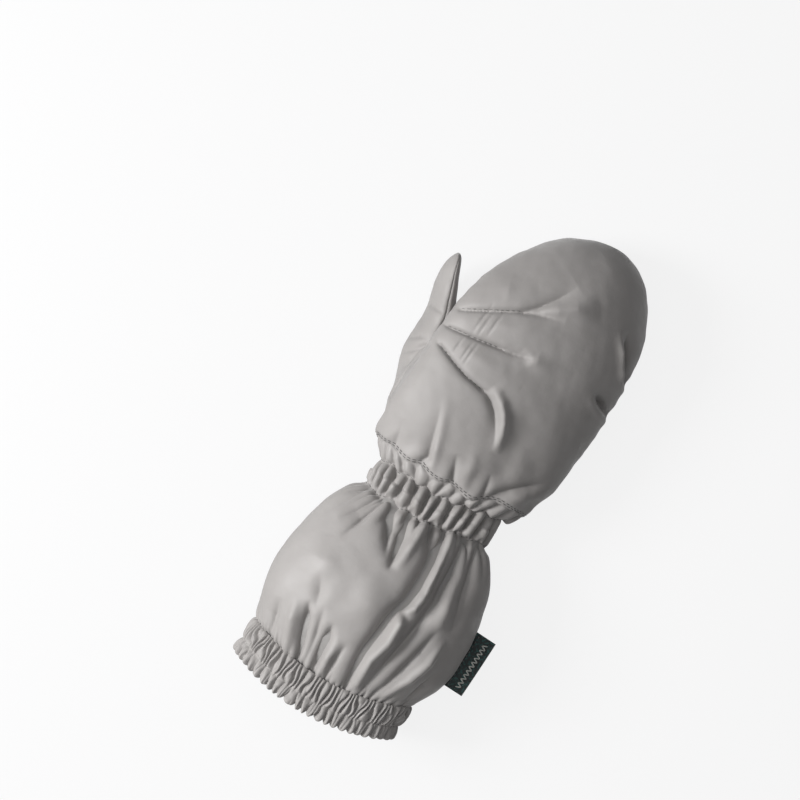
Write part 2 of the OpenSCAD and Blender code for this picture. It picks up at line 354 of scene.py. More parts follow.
def weave_height(nodes, links, pitch):
    """Height of a plain weave, from the piece's own cloth coordinates."""
    cloth = nodes.new("ShaderNodeUVMap")
    cloth.uv_map = "cloth"
    heights = []
    for direction in ("X", "Y"):
        wave = nodes.new("ShaderNodeTexWave")
        wave.bands_direction = direction
        wave.inputs["Scale"].default_value = 0.314 / pitch
        wave.inputs["Distortion"].default_value = 0.4
        wave.inputs["Detail"].default_value = 1.0
        links.new(cloth.outputs["UV"], wave.inputs["Vector"])
        heights.append(wave.outputs["Fac"])
    product = nodes.new("ShaderNodeMath")
    product.operation = "MULTIPLY"
    links.new(heights[0], product.inputs[0])
    links.new(heights[1], product.inputs[1])
    return product.outputs["Value"]


def shell_fabric():
    """Warm grey satin-faced nylon: fine weave, crinkles, a soft uneven gloss and a sheen."""
    material, nodes, links, shader = new_material("shell_fabric", (0.27, 0.258, 0.25), 0.55)
    shader.inputs["Sheen Weight"].default_value = 0.3
    shader.inputs["Sheen Roughness"].default_value = 0.35
    shader.inputs["Specular IOR Level"].default_value = 0.42
    place = nodes.new("ShaderNodeTexCoord").outputs["Object"]
    tint = noise_node(nodes, links, place, 38)
    colour = ramp_node(nodes, links, tint, 0.3, 0.7, (0.250, 0.238, 0.230), (0.288, 0.275, 0.267))
    links.new(colour, shader.inputs["Base Color"])
    gloss = noise_node(nodes, links, place, 120)
    worn = ramp_node(nodes, links, gloss, 0.3, 0.7, (0.50, 0.50, 0.50), (0.62, 0.62, 0.62))
    links.new(worn, shader.inputs["Roughness"])
    crinkle = bump_node(nodes, links, noise_node(nodes, links, place, 210, 4.0), 0.35, 0.0005)
    woven = bump_node(nodes, links, weave_height(nodes, links, 0.00036), 0.25, 0.00006, crinkle)
    links.new(woven, shader.inputs["Normal"])
    return material


def fleece():
    """Brushed grey fleece, matt and pilled."""
    material, nodes, links, shader = new_material("fleece_lining", (0.22, 0.215, 0.21), 0.95)
    shader.inputs["Sheen Weight"].default_value = 0.6
    shader.inputs["Sheen Roughness"].default_value = 0.6
    place = nodes.new("ShaderNodeTexCoord").outputs["Object"]
    pile = noise_node(nodes, links, place, 900, 5.0)
    colour = ramp_node(nodes, links, pile, 0.3, 0.7, (0.17, 0.165, 0.16), (0.28, 0.275, 0.27))
    links.new(colour, shader.inputs["Base Color"])
    links.new(bump_node(nodes, links, pile, 0.9, 0.0008), shader.inputs["Normal"])
    return material


def taffeta():
    """Plain grey lining cloth."""
    material, nodes, links, shader = new_material("cuff_lining", (0.25, 0.24, 0.235), 0.6)
    place = nodes.new("ShaderNodeTexCoord").outputs["Object"]
    shade = noise_node(nodes, links, place, 60)
    colour = ramp_node(nodes, links, shade, 0.3, 0.7, (0.22, 0.212, 0.205), (0.27, 0.262, 0.255))
    links.new(colour, shader.inputs["Base Color"])
    crinkle = bump_node(nodes, links, noise_node(nodes, links, place, 260, 4.0), 0.5, 0.0006)
    woven = bump_node(nodes, links, weave_height(nodes, links, 0.0004), 0.3, 0.00006, crinkle)
    links.new(woven, shader.inputs["Normal"])
    return material


def spun_thread(name, colour, darkest, lightest):
    """Spun polyester, with its twist showing."""
    material, nodes, links, shader = new_material(name, colour, 0.6)
    shader.inputs["Sheen Weight"].default_value = 0.3
    place = nodes.new("ShaderNodeTexCoord").outputs["Object"]
    twist = noise_node(nodes, links, place, 2600, 2.0)
    links.new(ramp_node(nodes, links, twist, 0.3, 0.7, darkest, lightest), shader.inputs["Base Color"])
    links.new(bump_node(nodes, links, twist, 0.6, 0.0001), shader.inputs["Normal"])
    return material


def sewing_thread():
    """Dark grey thread of the seams. Its colour is darker than the thread alone as painted shade, so that the
    dart stitches merge into the shade of their creases.
    """
    return spun_thread("thread", (0.075, 0.072, 0.07), (0.05, 0.048, 0.046), (0.11, 0.106, 0.103))


def pale_thread():
    """Pale grey thread of the tab's zigzag border."""
    return spun_thread("pale_thread", (0.42, 0.43, 0.40), (0.33, 0.34, 0.31), (0.50, 0.51, 0.48))


def woven_tab():
    """Near-black woven ribbon with plain teal flecks."""
    material, nodes, links, shader = new_material("woven_tab", (0.012, 0.02, 0.02), 0.7)
    shader.inputs["Sheen Weight"].default_value = 0.4
    cloth = nodes.new("ShaderNodeUVMap")
    cloth.uv_map = "cloth"
    flecks = noise_node(nodes, links, cloth.outputs["UV"], 900, 2.0)
    ground = ramp_node(nodes, links, flecks, 0.50, 0.62, (0.012, 0.018, 0.018), (0.02, 0.075, 0.07))
    links.new(ground, shader.inputs["Base Color"])
    woven = bump_node(nodes, links, weave_height(nodes, links, 0.0005), 0.8, 0.0002)
    links.new(woven, shader.inputs["Normal"])
    return material


SHELL, FLEECE, TAFFETA = shell_fabric(), fleece(), taffeta()
THREAD, PALE_THREAD, TAB = sewing_thread(), pale_thread(), woven_tab()


# ---- the cuff: gauntlet and gathered wrist
# Stitched rows: the wrist's two elastic rows, and the seam to the hand.
LOW_ROW, HIGH_ROW, HAND_SEAM = 91.0, 102.0, 109.0
CUFF_LEFT = [(14, -36.5), (20, -38.6), (30, -41.4), (40, -43), (50, -43.6), (60, -42.8), (70, -40.6),
             (80, -37.5), (86, -34.5), (91, -30.8), (102, -30.8), (109, -36)]
CUFF_RIGHT = [(14, 37), (20, 39.5), (30, 42.5), (40, 44.2), (50, 44.5), (60, 44), (70, 42), (80, 38),
              (86, 33), (91, 28), (102, 27.5), (109, 32.5)]
CUFF_TOP = [(14, 39.5), (20, 42), (30, 46), (40, 48.3), (50, 49), (60, 48.3), (70, 46.5), (80, 43),
            (86, 40.3), (91, 37.5), (102, 37.5), (109, 39.5)]
CUFF_UNDER = [(14, 6), (20, 1), (30, -6), (40, -10), (50, -11), (60, -10), (70, -6), (80, 1),
              (86, 5), (91, 9), (102, 9), (109, 8)]
SEAM_Z = 23.0
CUFF_COLUMNS = 384
GIRTH = 2 * math.pi * 38
# The hem: where its outline is read, its lower row of stitches, and the rows of its outer face.
HEM_LINE, HEM_STITCHED, HEM_OUTER = 14.5, 5.5, 40


def cuff_ring(s, angle, inset=0.0):
    """Points of the cuff's smooth outline at s. Angle 0 is the little-finger side and pi/2 the top."""
    left, right, top, under = (curve(table, s) for table in (CUFF_LEFT, CUFF_RIGHT, CUFF_TOP, CUFF_UNDER))
    rise = np.where(np.sin(angle) >= 0, top - SEAM_Z, SEAM_Z - under) - inset
    x = (left + right) / 2 + ((right - left) / 2 - inset) * np.cos(angle)
    z = SEAM_Z + rise * np.sin(angle)
    return np.stack([x, s + 0 * angle, np.maximum(z, FLOOR_GAP + inset)], -1)


def even_ring(s, count, inset=0.0):
    """The ring's points, evenly spaced round it."""
    fine = np.linspace(0, 2 * math.pi, 1441)
    ring = cuff_ring(np.full_like(fine, s), fine, inset)
    way = way_along(ring)
    angles = np.interp(np.arange(count) / count * way[-1], way, fine)
    return cuff_ring(np.full(count, float(s)), angles, inset)


def creases_round(count, least, most, seed):
    """Uneven places of creases round a gathered row, as shares of a turn."""
    steps = np.random.default_rng(seed).uniform(least, most, count)
    return np.cumsum(steps) / steps.sum()


def cells_between(creases, columns):
    """For each column, how far it is from one crease to the next, from 0 to 1, and which gap it is in."""
    share = np.arange(columns) / columns
    marks = np.sort(creases % 1)
    marks = np.r_[marks[-1] - 1, marks, marks[0] + 1]
    k = np.searchsorted(marks, share, side="right") - 1
    return (share - marks[k]) / (marks[k + 1] - marks[k]), k % (len(marks) - 2)


def midway(creases):
    """Creases that are halfway between the given ones."""
    marks = np.sort(creases % 1)
    return ((marks + np.r_[marks[-1] - 1, marks[:-1]]) / 2) % 1


def pillows(creases, shares, columns, seed):
    """Rows of stitched-in puffs, pointed where the rows end, with creases that lean a little at random."""
    rng = np.random.default_rng(seed)
    lean = rng.uniform(-0.35, 0.35, len(creases)) / len(creases)
    sizes = rng.uniform(0.6, 1.2, len(creases) + 1)
    rows = []
    for share in shares:
        f, k = cells_between(creases + lean * (share - 0.5), columns)
        swell = np.sin(math.pi * np.clip(share, 0, 1))
        across = np.maximum(1 - (np.abs(2 * f - 1) / (0.5 + 0.5 * swell)) ** 2, -0.25)
        rows.append(sizes[k] * across * swell**0.6)
    return np.array(rows)


def gathers(around, s, creases, start, way, reach, depth, width, seed):
    """Valleys that run out from a gathered row, each with its own length, depth and lean."""
    rng = np.random.default_rng(seed)
    height = np.zeros(around.shape)
    for place in creases:
        length = rng.uniform(*reach)
        deep = rng.uniform(*depth)
        lean = rng.uniform(-0.16, 0.16)
        off = (s - start) * way
        t = np.clip(off / length, 0, 1)
        side = (around - place * GIRTH - lean * off + GIRTH / 2) % GIRTH - GIRTH / 2
        wide = width * (0.75 + 0.9 * t)
        height -= deep * (1 - t) ** 1.2 * np.exp(-((np.abs(side) / wide) ** 1.4)) * smooth((off + 1.5) / 1.5)
    return height


# Folds of the gauntlet's back, from the wrist down and from the hem up. Each is a sharpness and its stations.
GAUNTLET_FOLDS = [
    (1.3, [(-28, 90, -1.2, 1.5), (-33, 80, -0.9, 2), (-37, 71, 0, 2)]),
    (1.3, [(-22, 90, -1.4, 1.2), (-27, 80, -1.4, 2), (-31, 73, 0, 2)]),
    (1.3, [(-19, 90, -1.2, 1.2), (-23, 78, -2, 1.6), (-26, 67, 0, 2)]),
    (1.4, [(-15, 91, -2.6, 2), (-13, 84, -4, 2.6), (-9.5, 77, -2, 2), (-6, 70, 0, 2)]),
    (1.4, [(-7, 91, -2.6, 1.7), (-5.5, 82, -4.6, 2.3), (-4, 75, -3.6, 2), (-2.5, 67, 0, 1.5)]),
    (2, [(0, 91, 1, 1.6), (0, 80, 1.8, 1.8), (-0.5, 69, 0, 2)]),
    (1.6, [(2, 91, -2, 1.6), (5.5, 85, -2.4, 2), (10, 78, 0, 2)]),
    (1.4, [(9, 90, -2, 1.4), (11, 79, -4.6, 2.6), (12, 68, -5.2, 3), (11.2, 60, -4.4, 2.6),
           (8.8, 53, -3.8, 2.3), (8.2, 44, -4, 2.4), (7.6, 34, -3.6, 2.2), (8, 26, -3, 1.8),
           (9, 16, -1.4, 1.4)]),
    (1.5, [(10.6, 90, 0.8, 0.9), (13.6, 80, 2.8, 1), (15.3, 68, 3, 1.1), (14.9, 60, 1.9, 1.1),
           (12, 55, 0, 1)]),
    (1.8, [(9.5, 57, 0, 1.2), (12.8, 52, 2.6, 2), (13.4, 43, 2.8, 2.1), (11.2, 33, 2.2, 1.6),
           (12.5, 20, 0.8, 1.4)]),
    (1.8, [(17, 90, -1.6, 1.8), (20, 79, -2.4, 2.6), (21, 66, -2.2, 3), (20, 50, -2.4, 2.8),
           (18, 36, -2.2, 2.4), (16, 20, -0.8, 2)]),
    (2, [(22, 80, 0, 2.4), (26, 66, 1, 2.2), (28, 54, 0, 2)]),
    (1.5, [(23, 89, -1.4, 1.6), (28, 78, -1.8, 2.4), (32, 64, -0.9, 2.4), (33, 58, 0, 2)]),
    (1.6, [(28, 60, 0, 2), (27, 46, -2, 2.2), (25, 34, -1.8, 2.2), (21, 18, -0.6, 1.8)]),
    (1.6, [(32.6, 56, 0, 1.1), (32, 44, 1.7, 1.2), (29.3, 32, 1.8, 1.2), (24.5, 18, 0.5, 1)]),
    (1.3, [(-22.5, 39, 0, 1.2), (-19.5, 31, -3.8, 1.7), (-16.5, 23, -3.8, 1.9), (-12.5, 14, -1.4, 1.4)]),
    (1.8, [(-27, 37, 0, 1.6), (-24, 28, 1.5, 2), (-20, 17, 0.5, 1.6)]),
    (1.4, [(-9, 37, 0, 1.5), (-8.2, 29, -4, 2.1), (-7.2, 22, -3.8, 2), (-5.3, 14, -1.4, 1.4)]),
    (1.8, [(-4, 34, 0, 1.6), (-3.5, 24, 1.5, 1.6), (-2.5, 15, 0.5, 1.4)]),
    (1.6, [(-16, 41, 0, 1.5), (-13, 30, -1.3, 1.6), (-10, 16, -0.8, 1.2)]),
    (1.6, [(-25, 52, 0, 2.4), (-21, 44, -1, 2.4), (-18, 36, 0, 2)]),
    (1.5, [(0, 34, 0, 1.4), (-0.5, 24, -1.4, 1.4), (0.5, 14, -1, 1.2)]),
    (1.5, [(37, 44, 0, 1.6), (36, 32, -1.8, 1.8), (33, 19, -0.8, 1.4)]),
    (1.5, [(-33, 32, 0, 1.6), (-31, 24, -1.5, 1.6), (-28, 15, -0.8, 1.2)]),
    (2, [(-30, 66, 0, 7), (-27, 56, 0.9, 7), (-26, 46, 0, 7)]),
    (2, [(-6, 64, 0, 5), (-2, 52, 1.1, 6), (-3, 40, 0, 5)]),
]


def make_cuff():
    """The tube of cloth from the hem to the hand, gathered on its stitched rows, and which rows those are."""
    low, high, above_high = 120, 140, 15
    rows = np.concatenate([
        np.linspace(HEM_TOP - 0.5, LOW_ROW, low, endpoint=False),
        np.linspace(LOW_ROW, HIGH_ROW, high - low, endpoint=False),
        np.linspace(HIGH_ROW, HAND_SEAM, above_high),
    ])
    outline = np.array([even_ring(s, CUFF_COLUMNS) for s in rows])
    outward = normals_of(outline, True)
    x, s = outline[..., 0], outline[..., 1]
    around = np.broadcast_to(np.arange(CUFF_COLUMNS) / CUFF_COLUMNS * GIRTH, x.shape)
    on_top = smooth((outward[..., 2] - 0.05) / 0.35)
    unseen = 1 - on_top
    main = creases_round(26, 0.75, 1.3, seed=7)
    staggered = midway(main)
    height = 1.4 * all_folds(x, s, GAUNTLET_FOLDS) * on_top * (1 - smooth((s - LOW_ROW + 1) / 3))
    below = s <= LOW_ROW + 1
    height += below * gathers(around, s, staggered, LOW_ROW, -1, (6, 17), (1.5, 2.8), 1.5, seed=41)
    at_hem = creases_round(58, 0.6, 1.5, seed=8)
    height += gathers(around, s, at_hem, rows[0], 1, (3, 11), (0.8, 1.7), 1.0, seed=42)
    long_down = creases_round(13, 0.6, 1.5, seed=12)
    height += below * unseen * gathers(around, s, long_down, LOW_ROW, -1, (16, 46), (2, 3.2), 2.9, seed=43)
    long_up = creases_round(17, 0.6, 1.5, seed=13)
    height += unseen * gathers(around, s, long_up, rows[0], 1, (12, 34), (1.5, 2.8), 2.3, seed=44)
    height += below * (1.4 * np.exp(-(LOW_ROW - s) / 9) * smooth((LOW_ROW - s) / 3))
    height += below * (0.8 * np.exp(-(s - rows[0]) / 6) * smooth((s - rows[0]) / 2))
    across = np.clip((rows - LOW_ROW) / (HIGH_ROW - LOW_ROW), 0, 1)
    above = np.clip((rows - HIGH_ROW) / (HAND_SEAM - HIGH_ROW), 0, 1)
    height += 4.6 * pillows(main, across, CUFF_COLUMNS, seed=51)
    height += 1.9 * pillows(staggered, above**0.6, CUFF_COLUMNS, seed=52)
    height += 0.35 * lumps(outline, 17, seed=14) * smooth((s - rows[0]) / 6) * below
    gathered = bell(s - 97, 8)
    grid = outline + outward * (height - 0.6 - 1.9 * gathered)[..., None]
    on_floor(grid)
    held = [0, low, high, len(rows) - 1]
    pressure = np.where(rows > HIGH_ROW, 0.0, np.where(rows > LOW_ROW, 0.02, 0.03))
    steps = 5
    return settle(grid, held, steps, pressure, 0.012), low, high


def make_hem(columns=832):
    """The hem casing: fine uneven gathers over a broad elastic, puffs at its rim, and its turned-in back."""
    rim, turned, inner = 0.8, 5, 14
    down = np.linspace(HEM_TOP, rim, HEM_OUTER)
    turn = np.linspace(0, math.pi, turned + 2)[1:-1]
    back = np.linspace(rim, HEM_TOP + 1, inner)
    places = np.r_[down, rim - rim * np.sin(turn), back]
    insets = np.r_[np.zeros(HEM_OUTER), 1.0 - np.cos(turn), np.full(inner, 2.0)]
    grid = np.array([even_ring(HEM_LINE, columns, inset) for inset in insets])
    grid[..., 1] = places[:, None]
    beside = [even_ring(s, columns) for s in (HEM_LINE - 0.5, HEM_LINE, HEM_LINE + 0.5)]
    outward = normals_of(np.array(beside), True)[1]
    s = grid[..., 1]
    rng = np.random.default_rng(15)
    share = np.arange(columns) / columns

    def drift(waves, size, pitch):
        """How far the creases wander sideways: a sum of waves that go round and up."""
        total = np.zeros(s.shape)
        for _ in range(6):
            turns = rng.integers(waves // 2, waves + 1)
            rise = rng.uniform(-1, 1) * 2 * math.pi / pitch
            total += np.sin(2 * math.pi * turns * share + rise * s + rng.uniform(0, 6.3))
        return total * size / 6

    def pleats(count, wander):
        """Round-topped pleats with sharp valleys."""
        phase = share * count + wander
        return np.abs(np.sin(math.pi * phase)) ** 0.7

    fine = pleats(80, drift(24, 0.9, 11)) * (0.75 + 0.35 * pleats(27, drift(14, 0.8, 16)))
    coarse = pleats(50, drift(18, 0.5, 10))
    high = np.clip((s - HEM_STITCHED) / (HEM_TOP - HEM_STITCHED), 0, 1)
    low = np.clip(s / HEM_STITCHED, 0, 1)
    upper = fine * (0.5 + 1.7 * np.sin(math.pi * high) ** 0.35)
    lower = (coarse * 1.9 + 0.5 * fine) * (1 - low**3) + 0.5 * fine * low**3
    height = np.where(s >= HEM_STITCHED, upper, lower)
    on_outside = (np.arange(len(places)) < HEM_OUTER + turned)[:, None]
    height = np.where(on_outside, height, 0.5 * fine)
    scallop = (coarse - 0.55) * 1.3 * np.exp(-s / 1.8)
    grid += outward * (height - 1.0)[..., None]
    grid[..., 1] -= np.where(on_outside, scallop, 0)
    on_floor(grid)
    return grid


# ---- the hand and the thumb
BROAD, TIP_L = 166.0, LENGTH - 166.0
HAND_MIDDLE = [(107, -2), (112, -2), (120, -1.6), (130, -0.8), (145, 0), (166, 0.4)]
HAND_HALF = [(107, 31), (109, 33.5), (112, 35.3), (120, 37.4), (130, 38.8), (145, 39.4), (166, 39.6)]
HAND_TOP = [(107, 37.5), (109, 39.3), (114, 41.3), (122, 43.8), (135, 46.3), (150, 47.2), (166, 46.8)]
HAND_UNDER = [(107, 10), (109, 8), (114, 3.5), (122, -2.5), (135, -6.5), (150, -7.5), (166, -7)]
THUMB_SIDE_Z = [(107, 23), (115, 26), (128, 32), (145, 34), (166, 33)]
LITTLE_SIDE_Z = [(107, 23), (115, 20.5), (128, 17.5), (145, 17), (166, 17)]
TIP_Z = 13.0


def hand_section(s):
    """The hand's section at s: middle x, half width, seam heights, top, underside and how full it is."""
    past = np.clip((s - BROAD) / TIP_L, 0, 1)
    full = np.sqrt(np.maximum(1 - past**2.05, 0))
    at = np.minimum(s, BROAD)
    fall = smooth(past)
    middle = curve(HAND_MIDDLE, at) + 4.6 * smooth(past * 0.9)
    half = np.maximum(curve(HAND_HALF, at) * full, 0.05)
    thumb_side = curve(THUMB_SIDE_Z, at) * (1 - fall) + TIP_Z * fall
    little_side = curve(LITTLE_SIDE_Z, at) * (1 - fall) + TIP_Z * fall
    return middle, half, thumb_side, little_side, curve(HAND_TOP, at), curve(HAND_UNDER, at), full


def hand_point(s, angle):
    """A point of the smooth hand. Angle 0 is the little-finger seam, pi/2 the back and pi the other seam."""
    middle, half, thumb_side, little_side, top, under, full = hand_section(s)
    seam = little_side + (thumb_side - little_side) * (1 - np.cos(angle)) / 2
    height = np.sin(angle)
    level = (thumb_side + little_side) / 2
    up = seam + full * (top - level) * np.maximum(height, 0) ** 0.95
    down = seam - full * (level - under) * np.maximum(-height, 0) ** 1.35
    z = np.where(height >= 0, up, down)
    lift = z - FLOOR_GAP
    z = FLOOR_GAP + (lift + np.sqrt(lift**2 + 2.0)) / 2
    return np.stack([middle + half * np.cos(angle), s + 0 * angle, z], -1)


def hand_field(p):
    """Below 0 inside the hand, above 0 outside."""
    middle, half, thumb_side, little_side, top, under, full = hand_section(p[..., 1])
    across = (p[..., 0] - middle) / half
    seam = little_side + (thumb_side - little_side) * (1 - np.clip(across, -1, 1)) / 2
    level = (thumb_side + little_side) / 2
    rise = p[..., 2] - seam
    tall = np.where(rise >= 0, top - level, level - under) * np.maximum(full, 0.02)
    return np.sqrt(across**2 + (rise / tall) ** 2) - 1


# Along the thumb: middle x, middle height, half of its broad and narrow widths, and its lean from the floor.
THUMB_X = [(112, -25), (124, -29.6), (136, -34.4), (146, -38.4), (156, -40.4), (166, -42.2), (176, -45.9),
           (184, -48), (191, -48.9)]
THUMB_Z = [(112, 25), (124, 21), (136, 17), (146, 15), (156, 14.3), (166, 14.3), (176, 15), (184, 17),
           (191, 19)]
THUMB_BROAD = [(112, 8), (124, 11), (136, 13), (146, 13.7), (156, 13.7), (166, 13.2), (173, 12.2)]
THUMB_NARROW = [(112, 8), (124, 8.6), (136, 8.5), (146, 8), (156, 7.3), (166, 6.2), (173, 5.2)]
THUMB_LEAN = [(112, 50), (124, 55), (136, 60), (146, 68), (156, 75), (166, 78), (176, 77), (191, 82)]
THUMB_FROM, THUMB_ROUND, THUMB_TIP = 114.0, 171.0, 191.3


def thumb_section(s):
    """The thumb's middle, half widths and the direction of its broad width."""
    past = np.clip((s - THUMB_ROUND) / (THUMB_TIP - THUMB_ROUND), 0, 1)
    full = np.sqrt(np.maximum(1 - past**2, 0))
    at = np.minimum(s, THUMB_BROAD[-1][0])
    lean = np.radians(curve(THUMB_LEAN, s))
    broad = np.maximum(curve(THUMB_BROAD, at) * full, 0.05)
    narrow = np.maximum(curve(THUMB_NARROW, at) * full * (1 - 0.25 * past), 0.05)
    return curve(THUMB_X, s), curve(THUMB_Z, s), broad, narrow, lean


def thumb_point(s, angle):
    """A point of the smooth thumb. Angle 0 is its upper seam and pi its lower one."""
    x, z, broad, narrow, lean = thumb_section(s)
    u = broad * np.cos(angle)
    v = narrow * np.sin(angle)
    height = np.maximum(z + u * np.sin(lean) + v * np.cos(lean), FLOOR_GAP)
    return np.stack([x + u * np.cos(lean) - v * np.sin(lean), s + 0 * angle, height], -1)


def thumb_field(p):
    """Below 0 inside the thumb, above 0 outside."""
    x, z, broad, narrow, lean = thumb_section(p[..., 1])
    dx, dz = p[..., 0] - x, p[..., 2] - z
    u = dx * np.cos(lean) + dz * np.sin(lean)
    v = dz * np.cos(lean) - dx * np.sin(lean)
    beyond = np.maximum(p[..., 1] - THUMB_TIP, 0) + np.maximum(THUMB_FROM - p[..., 1], 0)
    return np.sqrt((u / broad) ** 2 + (v / narrow) ** 2) - 1 + beyond / 4


def slope_of(field, p, step=0.25):
    """A field's value and its slope, by differences."""
    slope = np.stack([(field(p + step * e) - field(p - step * e)) / (2 * step) for e in np.eye(3)], -1)
    return field(p), slope


def distance_to(field, p):
    """Roughly how far outside the field's surface each point is."""
    value, slope = slope_of(field, p)
    return value / np.maximum(np.linalg.norm(slope, axis=-1), 1e-3)


def joined(p):
    """Distance to the hand and thumb together, with a fillet between them below the crotch."""
    a, b = distance_to(hand_field, p), distance_to(thumb_field, p)
    fillet = 0.4 + 11 * (1 - smooth((p[..., 1] - 136) / 14))
    blend = np.maximum(fillet - np.abs(a - b), 0) / fillet
    return np.minimum(a, b) - blend**2 * fillet / 4


def evened(moves, times):
    """A grid of moves, each averaged with its neighbours a few times."""
    for _ in range(times):
        padded = np.pad(moves, ((1, 1), (1, 1), (0, 0)), mode="edge")
        beside = padded[1:-1, :-2] + padded[1:-1, 2:] + padded[:-2, 1:-1] + padded[2:, 1:-1]
        moves = (beside + 4 * moves) / 8
    return moves


def melt(points, own, other, bias):
    """Moves a shell onto the joined surface near the other one, and just under it where the other takes over.
    Nothing moves past the crotch, where thumb and hand are two forms, or at the root, which stays buried."""
    finished = points.copy()
    x, s = points[..., 0], points[..., 1]
    beside = (x < -14) & (s > 118) & (s < 156)
    moved = points[beside]
    deep, sink, reach, furthest = 4.0, 1.8, 14, 2.5
    for _ in range(4):
        value, slope = slope_of(joined, moved)
        a, b = distance_to(own, moved), distance_to(other, moved)
        target = -sink * smooth((a - b + bias) / 1.6)
        at_root = smooth((moved[:, 1] - 119) / 9) * (1 - smooth((moved[:, 1] - 145) / 10))
        near = smooth((reach - b) / 4) * smooth((deep + value) / 2) * at_root
        size = np.maximum((slope**2).sum(-1), 0.2)
        step = np.clip((value - target) * near / size, -furthest, furthest)
        moved -= step[:, None] * slope
        on_floor(moved)
    finished[beside] = moved
    finished = points + evened(finished - points, 5)
    on_floor(finished)
    return finished


DARTS = [
    [(-36.2, 170.6), (-15, 183.1)],
    [(-37, 162), (-25, 163.8), (-13.3, 166)],
    [(-35, 153.8), (-27.5, 151.2), (-20, 149), (-11, 148)],
]
